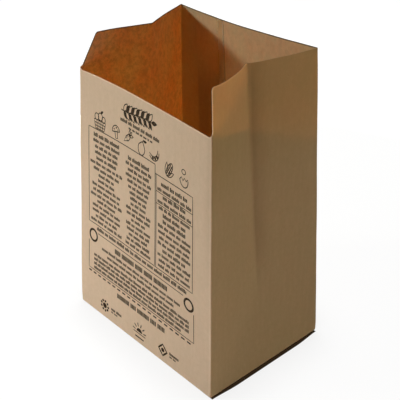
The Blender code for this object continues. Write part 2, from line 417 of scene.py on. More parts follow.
def softened(grid, columns):
    """Rounds off the slanting creases over the bottom triangles."""
    rows = range(LOW_FOLD_ROWS + 2, len(grid[0]))
    sides = [number for number, column in enumerate(columns) if column.panel in ("left", "right")]
    for _ in range(SOFTENING_PASSES):
        before = [list(line) for line in grid]
        for number in sides:
            weight_across = ramp(columns[number].near, CORNER_RADIUS, CREASE_ZONE)
            for row in rows:
                here = before[number][row]
                if here.z > SOFTENED_TO or row + 1 >= len(before[number]):
                    break
                weight = 0.5 * weight_across * (1 - ramp(here.z, HALF_DEPTH, SOFTENED_TO))
                beside = before[number - 1][row] + before[number + 1][row]
                mean = (beside + before[number][row - 1] + before[number][row + 1]) / 4
                moved = here.lerp(mean, weight)
                moved.y, moved.z = here.y, here.z
                grid[number][row] = moved
    return grid


def with_relief(grid, columns):
    """Moves each point out along the sheet's normal by the paper's own unevenness."""
    moved = []
    for number, line in enumerate(grid):
        before, after = grid[number - 1], grid[(number + 1) % len(grid)]
        points = []
        for row, here in enumerate(line):
            low, high = line[max(0, row - 1)], line[min(len(line) - 1, row + 1)]
            first = before[min(row, len(before) - 1)]
            second = after[min(row, len(after) - 1)]
            out = (second - first).cross(high - low).normalized()
            points.append(here + out * relief(here, here.z))
        moved.append(points)
    return moved


def painted_edge_kind(column):
    """Edges facing away from the key light get painted shade, and those facing the front get a painted highlight."""
    if column.panel == "front" or column.corner.startswith("front"):
        return HIGHLIGHT_EDGE
    if column.panel == "right":
        return HIGHLIGHT_EDGE if column.along <= HALF_DEPTH else None
    return SHADE_EDGE


def nearness_to_edge(column, points, cut_row):
    """For each point of a column, how near it is to the sheet's upper or free upright edge."""
    near = []
    for row, point in enumerate(points):
        away = points[-1].z - point.z
        if column.panel in ("left", "right") and row >= cut_row:
            from_front = column.along if column.panel == "right" else DEPTH - column.along
            away = min(away, from_front - CORNER_RADIUS)
        near.append(max(FAR_FROM_EDGE, 1 - away / EDGE_REACH))
    return near


def part_of_sheet(column):
    if column.panel == "back" or column.corner == "back_left":
        return ON_BACK
    if column.panel == "left" and column.along < HALF_DEPTH:
        return ON_LEFT_BACK_HALF
    return ON_RIGHT if column.panel == "right" else None


def painted_crease_light(column, height):
    """Beside the front panel's right crease: a painted highlight on its pale line, and a darker shoulder of painted
    shade high up.
    """
    if column.panel == "front":
        away = WIDTH - column.along
    elif column.corner == "front_right":
        away = CORNER_RADIUS * (1 - column.share)
    else:
        return 0.0
    shoulder = SHOULDER_SHADE * (1 - ramp(away, *SHOULDER_REACH)) * ramp(height, *SHOULDER_HEIGHTS)
    return shoulder + CREASE_HIGHLIGHT * (1 - ramp(away, *CREASE_HIGHLIGHT_REACH))


def marks(column, points, cut_row):
    """What is kept on a column's points: each name with its values from the bottom up."""
    near = nearness_to_edge(column, points, cut_row)
    far = [FAR_FROM_EDGE] * len(points)
    kept = {name: near if name == painted_edge_kind(column) else far for name in (SHADE_EDGE, HIGHLIGHT_EDGE)}
    for name in (ON_BACK, ON_LEFT_BACK_HALF, ON_RIGHT):
        kept[name] = [1.0 if name == part_of_sheet(column) else 0.0] * len(points)
    kept[CREASE_LIGHT] = [painted_crease_light(column, point.z) for point in points]
    return kept


def sheet_mesh():
    """The open middle surface of the folded sheet."""
    columns = all_columns()
    to_cut = spaced(0, HALF_DEPTH, COARSE_STEP) + spaced(HALF_DEPTH, CUT_ROW_HEIGHT, COARSE_STEP)
    past_cut = spaced(CUT_ROW_HEIGHT, HEIGHT, COARSE_STEP)
    grid = [column_points(column, to_cut, past_cut) for column in columns]
    grid = with_relief(softened(grid, columns), columns)
    mesh = bmesh.new()
    for name in (SHADE_EDGE, HIGHLIGHT_EDGE, ON_BACK, ON_LEFT_BACK_HALF, ON_RIGHT, CREASE_LIGHT):
        mesh.verts.layers.float.new(name)
    lines = []
    for column, points in zip(columns, grid):
        line = [mesh.verts.new(point + Vector((0, 0, BASE_Z))) for point in points]
        lines.append(line)
        for name, values in marks(column, points, LOW_FOLD_ROWS + len(to_cut)).items():
            layer = mesh.verts.layers.float[name]
            for vertex, value in zip(line, values):
                vertex[layer] = value
    for number, line in enumerate(lines):
        following = lines[(number + 1) % len(lines)]
        for row in range(min(len(line), len(following)) - 1):
            mesh.faces.new((line[row], following[row], following[row + 1], line[row + 1]))
    mesh.faces.new([line[0] for line in reversed(lines)])
    return mesh


def new_object(name, mesh, *materials):
    data = bpy.data.meshes.new(name)
    mesh.to_mesh(data)
    mesh.free()
    for material in materials:
        data.materials.append(material)
    made = bpy.data.objects.new(name, data)
    bpy.context.scene.collection.objects.link(made)
    return made


def finished(piece, sharp_angle=math.radians(40)):
    """The piece with its modifiers applied, smooth but for its edges."""
    graph = bpy.context.evaluated_depsgraph_get()
    data = bpy.data.meshes.new_from_object(piece.evaluated_get(graph))
    piece.modifiers.clear()
    piece.data = data
    data.shade_smooth()
    data.set_sharp_from_angle(angle=sharp_angle)
    return piece


def sheet(outside, inside, cut_edge):
    piece = new_object("folded_sheet", sheet_mesh(), outside, inside, cut_edge)
    wall = piece.modifiers.new("wall", "SOLIDIFY")
    wall.thickness = SHEET
    wall.offset = 0
    wall.use_even_offset = True
    wall.material_offset = 1
    wall.material_offset_rim = 2
    return finished(piece)


def flap_outline(side):
    """A trapezium from the fold to just past the middle, its ends cut at 45 degrees."""
    fold_y = HALF_DEPTH - BOTTOM_FOLD - FLAP_MARGIN
    half = WIDTH / 2 - SIDE_TUCK_INSET - FLAP_MARGIN
    edge_y = -FLAP_LAP / 2
    end_half = half - (fold_y - edge_y)
    outline = [(half, fold_y), (-half, fold_y), (-end_half, edge_y), (end_half, edge_y)]
    return outline if side == "back" else [(-x, -y) for x, y in outline]


def flap(side, low, material):
    mesh = bmesh.new()
    face = mesh.faces.new([mesh.verts.new((x, y, low)) for x, y in flap_outline(side)])
    raised = bmesh.ops.extrude_face_region(mesh, geom=[face])
    moved = [item for item in raised["geom"] if isinstance(item, bmesh.types.BMVert)]
    bmesh.ops.translate(mesh, verts=moved, vec=(0, 0, BASE_Z - low))
    bmesh.ops.recalc_face_normals(mesh, faces=mesh.faces[:])
    return new_object(f"bottom_flap_{side}", mesh, material)


def back_seam(material):
    """One end of the sheet over the other: an edge inside at one side of the lap, outside at the other."""
    inner = WIDTH - SEAM_PLACE - SEAM_WIDTH / 2
    outer = inner + SEAM_WIDTH
    proud = SHEET / 2 + SEAM_STEP
    mesh = bmesh.new()
    rings = []
    for height in [BOTTOM_FOLD] + spaced(BOTTOM_FOLD, HEIGHT - SEAM_SHORT, COARSE_STEP):
        into = inward(crease("back_right", height), crease("back_left", height))
        corners = []
        for along, rise in ((inner, proud), (inner, 0), (outer, -proud), (outer, 0)):
            on_wall = back_point(along, height)
            corners.append(on_wall + into * (rise - relief(on_wall, height)))
        rings.append([mesh.verts.new(point + Vector((0, 0, BASE_Z))) for point in corners])
    for low, high in zip(rings, rings[1:]):
        for side in range(4):
            after = (side + 1) % 4
            mesh.faces.new((low[side], low[after], high[after], high[side]))
    mesh.faces.new(reversed(rings[0]))
    mesh.faces.new(rings[-1])
    bmesh.ops.recalc_face_normals(mesh, faces=mesh.faces[:])
    return new_object("back_seam", mesh, material)


# The print, in millimetres across from the left crease and up from the bottom of the front panel
INK_RISE = 0.00004
INK_ROOT = 0.00006
LONGEST_STEP = 8.0


def on_front(across, up, rise):
    """The point of the front panel's outer face at a place in millimetres, lifted by rise."""
    height = up * MM
    even = front_point(across * MM, height)
    ahead = front_point((across + 1) * MM, height) - even
    above = front_point(across * MM, height + MM) - even
    out = ahead.cross(above).normalized()
    return even + out * (relief(even, height) + SHEET / 2 + rise) + Vector((0, 0, BASE_Z))


def along_line(start, end, longest=LONGEST_STEP):
    """Points from start to end, no further apart than longest, without the start."""
    length = math.dist(start, end)
    count = max(1, math.ceil(length / longest))
    return [
        (start[0] + (end[0] - start[0]) * step / count, start[1] + (end[1] - start[1]) * step / count)
        for step in range(1, count + 1)
    ]


def stroke(mesh, points, width, closed=False):
    """A raised line of ink along points."""
    path = [points[0]]
    for point in points[1:] + ([points[0]] if closed else []):
        path += along_line(path[-1], point)
    if closed:
        path.pop()
    count = len(path)
    rings = []
    for number, (across, up) in enumerate(path):
        before = path[number - 1] if closed or number else path[0]
        after = path[(number + 1) % count] if closed or number < count - 1 else path[-1]
        way_x, way_y = after[0] - before[0], after[1] - before[1]
        length = math.hypot(way_x, way_y)
        side_x, side_y = -way_y / length * width / 2, way_x / length * width / 2
        ring = []
        for turn, rise in ((1, -INK_ROOT), (1, INK_RISE), (-1, INK_RISE), (-1, -INK_ROOT)):
            ring.append(mesh.verts.new(on_front(across + side_x * turn, up + side_y * turn, rise)))
        rings.append(ring)
    pairs = list(zip(rings, rings[1:])) + ([(rings[-1], rings[0])] if closed else [])
    for one, two in pairs:
        for side in range(4):
            after = (side + 1) % 4
            mesh.faces.new((one[side], one[after], two[after], two[side]))
    if not closed:
        mesh.faces.new(reversed(rings[0]))
        mesh.faces.new(rings[-1])


def patch(mesh, outline):
    """A small field of ink inside an outline."""
    top = [mesh.verts.new(on_front(across, up, INK_RISE)) for across, up in outline]
    low = [mesh.verts.new(on_front(across, up, -INK_ROOT)) for across, up in outline]
    mesh.faces.new(top)
    mesh.faces.new(reversed(low))
    for number in range(len(outline)):
        after = (number + 1) % len(outline)
        mesh.faces.new((low[number], low[after], top[after], top[number]))


def bar(mesh, left, right, up, height):
    """A word of greeked text: a plain bar about its middle line."""
    stroke(mesh, [(left, up), (right, up)], height)


def oval(centre, radius_x, radius_y, start=0.0, end=360.0, tilt=0.0, count=28):
    """Points round an oval, or part of one, from start to end in degrees."""
    whole = abs(end - start) >= 360
    steps = count if whole else count + 1
    points = []
    for step in range(steps):
        turn = math.radians(start + (end - start) * step / count)
        x, y = radius_x * math.cos(turn), radius_y * math.sin(turn)
        lean = math.radians(tilt)
        points.append((
            centre[0] + x * math.cos(lean) - y * math.sin(lean),
            centre[1] + x * math.sin(lean) + y * math.cos(lean),
        ))
    return points


def leaf(base, tip, plump):
    """The outline of a pointed leaf."""
    length = math.dist(base, tip)
    way = ((tip[0] - base[0]) / length, (tip[1] - base[1]) / length)
    sides = []
    for turn in (1, -1):
        for step in range(8):
            share = step / 8 if turn > 0 else 1 - step / 8
            out = turn * plump * length * math.sin(math.pi * share**0.85)
            sides.append((
                base[0] + way[0] * length * share - way[1] * out,
                base[1] + way[1] * length * share + way[0] * out,
            ))
    return sides


FINE = 0.8
LINE = 0.95
HEAVY = 2.3

# Heights of the rows that stand for text, in millimetres
BODY = 2.6
DENSE = 2.8
SMALL = 1.6
BOLD = 3.0
TITLE = 5.2
WORD_GAP = 1.4
CLOSE_GAP = 1.0
TITLE_WORD_GAP = 2.0
BLOCK_WIDTH = 0.46  # of a row's height
BLOCK_GAP = 0.13
NARROW = 0.62  # of a title's blocks against those of the other rows
TITLE_GAP = 0.09
TALL_SHARE = 0.3


def blocks(mesh, dice, left, right, up, height):
    """A word: plain upright blocks side by side, some a little taller."""
    title = height >= TITLE
    width = BLOCK_WIDTH * height * (NARROW if title else 1.0)
    pitch = width + (TITLE_GAP if title else BLOCK_GAP) * height
    share = width / pitch
    count = max(1, round((right - left) / pitch))
    pitch = (right - left) / count
    for number in range(count):
        across = left + pitch * (number + 0.5)
        taller = 0.28 * height if not title and dice.random() < TALL_SHARE else 0.0
        stroke(mesh, [(across, up - height / 2), (across, up + height / 2 + taller)], pitch * share)


def words(mesh, dice, left, right, up, height, gap=WORD_GAP):
    """Words of unlike lengths from left to right."""
    start = left
    while start < right - 1.5 * height:
        end = min(right, start + dice.uniform(1.6, 4.6) * height)
        if right - end < 2.0 * height:
            end = right
        blocks(mesh, dice, start, end, up, height)
        start = end + gap


def centred(mesh, dice, middle, width, up, height, gap=WORD_GAP):
    words(mesh, dice, middle - width / 2, middle + width / 2, up, height, gap)


def column_print(mesh, dice, middle, widest, top, low, count, bold_rows=(), narrowest=0.46):
    """A heading and rows of unlike lengths about a middle line."""
    centred(mesh, dice, middle, widest * 0.76, top, BOLD)
    for row in range(1, count):
        up = top - row * (top - low) / (count - 1)
        bold = row in bold_rows
        width = widest * (0.66 if bold else dice.uniform(narrowest, 1.0))
        centred(mesh, dice, middle, width, up, BOLD if bold else BODY)


def text_print(ink):
    """Text as rows of plain blocks: three columns, a band, a boxed paragraph and the foot."""
    dice = random.Random(4)
    mesh = bmesh.new()
    column_print(mesh, dice, 44.0, 56.0, 195.6, 106.6, 17)
    column_print(mesh, dice, 96.5, 44.0, 192.0, 106.6, 17)
    column_print(mesh, dice, 150.0, 49.0, 186.8, 106.6, 15, (2, 5, 6, 11), 0.86)
    centred(mesh, dice, 98, 140, 98.2, BOLD)
    centred(mesh, dice, 100, 82, 87.2, TITLE, TITLE_WORD_GAP)
    centred(mesh, dice, 98, 122, 79.6, BODY, CLOSE_GAP)
    centred(mesh, dice, 98, 104, 73.8, BODY, CLOSE_GAP)
    for row in range(4):
        words(mesh, dice, 23.5, 171.0 if row < 3 else 160.0, 67.6 - row * 5.0, DENSE, CLOSE_GAP)
    centred(mesh, dice, 100, 74, 38.2, TITLE, TITLE_WORD_GAP)
    centred(mesh, dice, 97.5, 62, 223.4, BODY)
    centred(mesh, dice, 99, 38, 219.0, SMALL)
    for left, right, up, height in ((53, 70, 16.4, BODY), (53, 67, 12.8, SMALL), (144, 157, 16.0, BODY), (144, 153, 12.4, SMALL)):
        words(mesh, dice, left, right, up, height)
    return new_object("print_text", mesh, ink)


def frames_print(ink):
    """Thin boxes, their divider, two rings and a dashed line."""
    mesh = bmesh.new()
    left, split, right = 14.6, 122.6, 176.0
    stroke(mesh, [(split, 201.5), (left, 201.5), (left, 102.4), (right, 102.4), (right, 193.5), (split, 193.5)], FINE)
    stroke(mesh, [(split, 103.4), (split, 201.5)], FINE)
    stroke(mesh, [(split + 1.5, 103.4), (split + 1.5, 193.0)], FINE)
    for up in (178.2, 166.8):
        stroke(mesh, [(split + 1.5, up), (right, up)], FINE * 0.8)
    for across, up, radius in ((22.4, 88.6, 6.2), (171.0, 87.4, 5.8)):
        stroke(mesh, oval((across, up), radius, radius, count=40), HEAVY, closed=True)
    stroke(mesh, [(30.0, 93.4), (163.3, 93.4)], FINE)
    stroke(mesh, [(left, 81.0), (left, 49.2), (177.6, 49.2), (177.6, 80.5)], FINE)
    start = left
    while start < 175:
        stroke(mesh, [(start, 46.0), (start + 4.9, 46.0)], 1.7)
        start += 8.1
    return new_object("print_frames", mesh, ink)


# Each motif is a list of shapes about its own middle: points, line width or 0 for a field, closed or not
def line(points, width=LINE):
    return points, width, False


def ring(points, width=LINE):
    return points, width, True


def field(points):
    return points, 0, True


def draw(mesh, shapes, x, y, size=1.0, tilt=0.0):
    """Puts a motif on the panel, larger by size and turned by tilt in degrees."""
    turn = math.radians(tilt)
    for points, width, closed in shapes:
        placed = []
        for a, b in points:
            across = x + size * (a * math.cos(turn) - b * math.sin(turn))
            placed.append((across, y + size * (a * math.sin(turn) + b * math.cos(turn))))
        if width:
            stroke(mesh, placed, width, closed)
        else:
            patch(mesh, placed)


def carrot():
    shapes = [ring([(-7.0, -5.0), (-3.0, 1.2), (0.6, 3.8), (3.4, 1.0), (1.0, -2.4)])]
    for tip in ((3.0, 9.0), (6.6, 7.4), (9.0, 3.6)):
        shapes.append(ring(leaf((2.2, 2.4), tip, 0.17), FINE))
    for start, end in (((-1.4, 2.6), (0.2, 0.6)), ((-3.4, 0.4), (-1.6, -1.0)), ((-1.0, -3.4), (-1.8, -1.8))):
        shapes.append(line([start, end], FINE))
    return shapes


def mushroom():
    return [
        line(oval((0, 1.0), 6.4, 5.8, 0, 180, count=18)),
        line([(-6.4, 1.0), (6.4, 1.0)]),
        line([(-2.0, 1.0), (-1.6, -5.6), (1.6, -5.6), (2.0, 1.0)]),
        field(oval((-2.8, 3.4), 1.0, 0.8, count=10)),
        field(oval((1.2, 4.6), 1.1, 0.8, count=10)),
        field(oval((3.6, 2.6), 0.8, 0.6, count=10)),
    ]


def pear():
    outline = []
    for step in range(32):
        turn = 2 * math.pi * step / 32
        narrow = 1 - 0.42 * ramp(math.sin(turn), 0.1, 1.0)
        outline.append((4.9 * math.cos(turn) * narrow, -1.0 + 6.0 * math.sin(turn)))
    return [ring(outline), line([(0, 4.8), (1.0, 7.8)]), field(leaf((0.9, 6.4), (6.0, 8.2), 0.22))]


def pea_pod():
    shapes = [
        line(oval((0, 5.0), 8.2, 8.6, 200, 340, count=18)),
        line(oval((0, 9.6), 8.2, 9.8, 212, 328, count=16)),
    ]
    for across in (-3.5, 0.0, 3.5):
        shapes.append(field(oval((across, -1.6 + abs(across) * 0.22), 1.5, 1.5, count=14)))
    return shapes


def eggshell():
    rim = [(-5.2, 0.6), (-3.0, 2.4), (-1.2, -0.2), (0.8, 2.2), (2.8, 0.2), (5.2, 1.8)]
    return [
        line(rim),
        line(oval((0, 0.8), 5.2, 6.0, 180, 360, count=18)),
        ring(oval((0.6, 6.8), 2.4, 1.9, count=18), FINE),
    ]


def cob():
    shapes = [ring(oval((0, 0), 3.0, 7.0, count=28))]
    for across in (-1.0, 1.0):
        shapes.append(line([(across, -5.6), (across, 5.6)], FINE))
    for up in (-3.4, -1.1, 1.2, 3.5):
        shapes.append(line([(-2.6, up), (2.6, up)], FINE))
    shapes.append(ring(leaf((-1.0, -7.0), (-5.8, 3.0), 0.16), FINE))
    shapes.append(ring(leaf((1.0, -7.0), (5.8, 2.0), 0.16), FINE))
    return shapes


def basket():
    """A low basket with round fruit in it."""
    shapes = [ring([(-9.0, 0.0), (9.0, 0.0), (6.6, -8.0), (-6.6, -8.0)])]
    for up, half in ((-2.7, 8.0), (-5.4, 7.2)):
        shapes.append(line([(-half, up), (half, up)], FINE))
    for across in (-5.0, -1.7, 1.7, 5.0):
        shapes.append(line([(across, 0.0), (across * 0.76, -8.0)], FINE))
    for across, up, radius in ((-5.0, 2.8, 3.0), (0.6, 3.8, 3.4), (5.8, 2.4, 2.6)):
        shapes.append(ring(oval((across, up), radius, radius, count=22)))
    shapes.append(field(leaf((0.8, 7.0), (5.2, 9.8), 0.24)))
    return shapes


def branch(half):
    """A bent stem with pairs of leaves, one of each pair filled."""
    stem = [(step, 1.6 * math.sin(math.pi * step / half / 1.6)) for step in range(-half, half + 1, 4)]
    shapes = [line(stem, LINE)]
    for number, (across, up) in enumerate(stem[1:-1]):
        above = leaf((across, up), (across + 5.6, up + 7.4), 0.25)
        below = leaf((across, up), (across + 5.2, up - 6.6), 0.25)
        if number % 2:
            shapes += [field(above), ring(below, LINE)]
        else:
            shapes += [ring(above, LINE), field(below)]
    shapes.append(field(leaf(stem[-1], (half + 9.0, stem[-1][1] + 1.0), 0.22)))
    return shapes


def dotted_disc():
    shapes = [field(oval((0, 0), 3.2, 3.2, count=20))]
    for number in range(9):
        turn = 2 * math.pi * number / 9
        shapes.append(field(oval((5.8 * math.cos(turn), 5.8 * math.sin(turn)), 1.5, 1.5, count=12)))
    return shapes


def rising_disc():
    shapes = [field(oval((0, -3.0), 3.8, 3.8, 0, 180, count=16)), line([(-8.0, -4.6), (8.0, -4.6)], LINE)]
    for degrees in (10, 42, 74, 106, 138, 170):
        turn = math.radians(degrees)
        start = (5.4 * math.cos(turn), -3.0 + 5.4 * math.sin(turn))
        end = (9.0 * math.cos(turn), -3.0 + 9.0 * math.sin(turn))
        shapes.append(line([start, end], 1.2))
    return shapes


def diamond():
    return [ring([(0, 6.6), (-6.0, 0), (0, -6.6), (6.0, 0)], 2.0), field(oval((0, 0), 2.4, 2.4, count=16))]


def motifs_print(ink):
    """A leafy branch, kitchen scraps at unlike heights and three plain marks along the foot."""
    mesh = bmesh.new()
    draw(mesh, branch(24), 92.0, 234.0)
    draw(mesh, basket(), 33.0, 211.0, 1.05)
    draw(mesh, mushroom(), 60.0, 208.5, 0.95, 12)
    draw(mesh, carrot(), 79.5, 210.0, 0.95)
    draw(mesh, pear(), 101.5, 209.0, 1.05, -14)
    draw(mesh, pea_pod(), 122.0, 208.0, 1.0, 24)
    draw(mesh, cob(), 143.5, 204.5, 1.05, -32)
    draw(mesh, eggshell(), 164.0, 203.0, 1.1, 8)
    draw(mesh, dotted_disc(), 42.0, 14.8)
    draw(mesh, rising_disc(), 99.0, 17.6, 1.15)
    draw(mesh, diamond(), 134.4, 14.6)
    bar(mesh, 92.4, 105.6, 7.4, SMALL)
    return new_object("print_motifs", mesh, ink)


# Materials
# One kraft paper: its two faces have one tone but for a little painted shade inside, darker in red and blue, and
# orange light comes through it
PAPER = (0.658, 0.558, 0.405)
PAPER_INSIDE_SHADED = (0.620, 0.558, 0.370)
THROUGH = (0.835, 0.432, 0.136)
THROUGH_RED = (0.880, 0.365, 0.095)
THROUGH_YELLOW = (0.805, 0.490, 0.175)
THROUGH_SHARE = 0.43
DARKER = 0.905
PALER = 1.07
FLECK = 0.55
THIN = 1.19
THICK = 0.70
BACK_EVENNESS = 0.75
# painted shade and painted highlight along the upper edges
EDGE_SHADE = 0.38
EDGE_HIGHLIGHT = 1.38
LAP_THROUGH = (0.97, 0.95, 0.90)
LAP_THROUGH_SHARE = 0.92
INK = (0.028, 0.015, 0.006)
INK_WORN = (0.120, 0.078, 0.040)

# Places on the bag where the tone or glow changes: mostly painted light and shade, partly the lap of the back seam
SEAM_LINE = (-0.0214, -0.0200)
# painted shade along the lap's edge, on the tone and on the light through the paper
SEAM_SHADE_SHARE = 0.66
SEAM_SHADE_GLOW = 0.50
CORNER_STRIP = -0.0685  # painted shade: the back panel is darker to the left of this, and darkens towards it
STRIP_GLOW = 0.56
# light through the back panel beside the seam: partly the lap, partly painted shade that deepens low down
LAP_SHADE_GLOW = (0.72, 1.05)
LOW_GLOW = 0.32
LOW_GLOW_HEIGHTS = (0.205, 0.262)
# painted light: the glow of the left gusset's back half tinted for how it is lit
BACK_HALF_LIGHT_TINT = (0.89, 0.79, 0.72)
# painted light: the upper right gusset's tone tinted for how it is lit
UPPER_LIGHT_TINT = (0.86, 0.84, 0.73)
UPPER_HEIGHTS = (0.17, 0.26)
BACK_DRIFT = 0.013 / HEIGHT  # how far the back panel leans to the left, per metre of height
FOLD_DRIFT = 0.016 / HEIGHT
# painted shade just behind the right gusset's fold
FOLD_SHADE_REACH = 0.024
FOLD_SHADE_SHARE = 0.82


def nodes_of(name):
    material = bpy.data.materials.new(name)
    material.use_nodes = True
    tree = material.node_tree
    return material, tree.nodes, tree.links, tree.nodes["Principled BSDF"]


def colour(value, share=1.0):
    return (*(channel * share for channel in value), 1.0)


def noise_node(nodes, links, source, size, detail=2.0, stretch=1.0, roughness=0.5):
    """Noise with features of a size in metres, drawn out along the bag's height by stretch."""
    mapping = nodes.new("ShaderNodeMapping")
    mapping.inputs["Scale"].default_value = (1 / size, 1 / size, 1 / size / stretch)
    texture = nodes.new("ShaderNodeTexNoise")
    texture.inputs["Scale"].default_value = 1.0
    texture.inputs["Detail"].default_value = detail
    texture.inputs["Roughness"].default_value = roughness
    links.new(source, mapping.inputs["Vector"])
    links.new(mapping.outputs["Vector"], texture.inputs["Vector"])
    return texture.outputs["Fac"]


def mixed_colour(nodes, links, factor, first, second, low=0.0, high=1.0, most=1.0):
    """A mix from first to second as factor goes from low to high, no more than most of second."""
    span = nodes.new("ShaderNodeMapRange")
    span.inputs["From Min"].default_value = low
    span.inputs["From Max"].default_value = high
    span.inputs["To Max"].default_value = most
    links.new(factor, span.inputs["Value"])
    mix = nodes.new("ShaderNodeMix")
    mix.data_type = "RGBA"
    links.new(span.outputs["Result"], mix.inputs["Factor"])
    for socket, value in ((mix.inputs[6], first), (mix.inputs[7], second)):
        if isinstance(value, tuple):
            socket.default_value = value
        else:
            links.new(value, socket)
    return mix.outputs[2]


def ramp_node(nodes, links, value, low, high, to_low=0.0, to_high=1.0):
    span = nodes.new("ShaderNodeMapRange")
    span.interpolation_type = "SMOOTHSTEP"
    for name, number in (("From Min", low), ("From Max", high), ("To Min", to_low), ("To Max", to_high)):
        span.inputs[name].default_value = number
    links.new(value, span.inputs["Value"])
    return span.outputs["Result"]


def math_node(nodes, links, operation, *values):
    node = nodes.new("ShaderNodeMath")
    node.operation = operation
    for socket, value in zip(node.inputs, values):
        if isinstance(value, float):
            socket.default_value = value
        else:
            links.new(value, socket)
    return node.outputs["Value"]


def within(nodes, links, value, low, high, soft):
    """1 where the value lies from low to high, 0 elsewhere, with soft borders."""
    rise = ramp_node(nodes, links, value, low - soft / 2, low + soft / 2)
    fall = ramp_node(nodes, links, value, high - soft / 2, high + soft / 2, 1.0, 0.0)
    return math_node(nodes, links, "MULTIPLY", rise, fall)


def blended(nodes, links, factor, first, second):
    """A number that goes from first to second with the factor."""
    mix = nodes.new("ShaderNodeMix")
    links.new(factor, mix.inputs["Factor"])
    for socket, value in ((mix.inputs[2], first), (mix.inputs[3], second)):
        if isinstance(value, float):
            socket.default_value = value
        else:
            links.new(value, socket)
    return mix.outputs[0]


def drifted(nodes, links, value, height, drift):
    return math_node(nodes, links, "MULTIPLY_ADD", height, drift, value)


def marked(nodes, name):
    mark = nodes.new("ShaderNodeAttribute")
    mark.attribute_name = name
    return mark.outputs["Fac"]


def share_on(nodes, links, mark, value):
    """The value where the sheet has a mark, 1 elsewhere."""
    return blended(nodes, links, marked(nodes, mark), 1.0, value)


def seam_shade_share(nodes, links, axes, share):
    """Painted shade: less along the lap's edge on the back panel, 1 elsewhere."""
    across = drifted(nodes, links, axes["X"], axes["Z"], BACK_DRIFT)
    line_here = within(nodes, links, across, *SEAM_LINE, 0.0005)
    return share_on(nodes, links, ON_BACK, math_node(nodes, links, "MULTIPLY_ADD", line_here, share - 1.0, 1.0))


def lap_and_shade_share(nodes, links, axes):
    """How much light comes through the back panel: less left of the seam, and least low down there; partly the lap,
    partly painted shade.
    """
    across = drifted(nodes, links, axes["X"], axes["Z"], BACK_DRIFT)
    seam = SEAM_LINE[0]
    lap_shade = ramp_node(nodes, links, across, CORNER_STRIP, seam, *LAP_SHADE_GLOW)
    low = ramp_node(nodes, links, axes["Z"], *LOW_GLOW_HEIGHTS, LOW_GLOW, 1.0)
    lap_shade = math_node(nodes, links, "MULTIPLY", lap_shade, low)
    past_strip = ramp_node(nodes, links, across, CORNER_STRIP - 0.002, CORNER_STRIP + 0.002)
    past_seam = ramp_node(nodes, links, across, seam - 0.0003, seam + 0.0003)
    value = blended(nodes, links, past_strip, STRIP_GLOW, lap_shade)
    return share_on(nodes, links, ON_BACK, blended(nodes, links, past_seam, value, 1.0))


def tinted(nodes, links, tone, tint, share):
    """The tone times a tint, as far as share goes."""
    mix = nodes.new("ShaderNodeMix")
    mix.data_type = "RGBA"
    mix.blend_type = "MULTIPLY"
    links.new(share, mix.inputs["Factor"])
    links.new(tone, mix.inputs[6])
    mix.inputs[7].default_value = colour(tint)
    return mix.outputs[2]


def upper_right(nodes, links, axes):
    """Where the tint of painted light goes: 1 towards the top of the right gusset, 0 elsewhere."""
    upper = ramp_node(nodes, links, axes["Z"], *UPPER_HEIGHTS)
    return math_node(nodes, links, "MULTIPLY", upper, marked(nodes, ON_RIGHT))


def fold_shade_share(nodes, links, axes):
    """The share of its tone that the right gusset keeps, least just behind its fold, as painted shade."""
    behind = drifted(nodes, links, axes["Y"], axes["Z"], FOLD_DRIFT)
    past = ramp_node(nodes, links, behind, -0.0006, 0.0006)
    near = ramp_node(nodes, links, behind, -FOLD_SHADE_REACH, FOLD_SHADE_REACH, 1.0, 0.0)
    right_side = ramp_node(nodes, links, axes["X"], 0.060, 0.064)
    high_up = ramp_node(nodes, links, axes["Z"], FOLD_MEMORY_FROM, FOLD_MEMORY_FULL)
    masked = math_node(nodes, links, "MULTIPLY", past, near)
    masked = math_node(nodes, links, "MULTIPLY", masked, right_side)
    masked = math_node(nodes, links, "MULTIPLY", masked, high_up)
    return math_node(nodes, links, "MULTIPLY_ADD", masked, 2 * (FOLD_SHADE_SHARE - 1.0), 1.0)


def scaled(nodes, links, tone, share):
    node = nodes.new("ShaderNodeVectorMath")
    node.operation = "SCALE"
    links.new(tone, node.inputs["Vector"])
    links.new(share, node.inputs["Scale"])
    return node.outputs["Vector"]


def painted_edge_light(nodes, links):
    """The share of its tone that the paper keeps along its edges: painted shade or a painted highlight."""
    shares = []
    for name, share in ((SHADE_EDGE, EDGE_SHADE), (HIGHLIGHT_EDGE, EDGE_HIGHLIGHT)):
        shares.append(ramp_node(nodes, links, marked(nodes, name), 0.05, 0.60, 1.0, share))
    return math_node(nodes, links, "MULTIPLY", *shares)


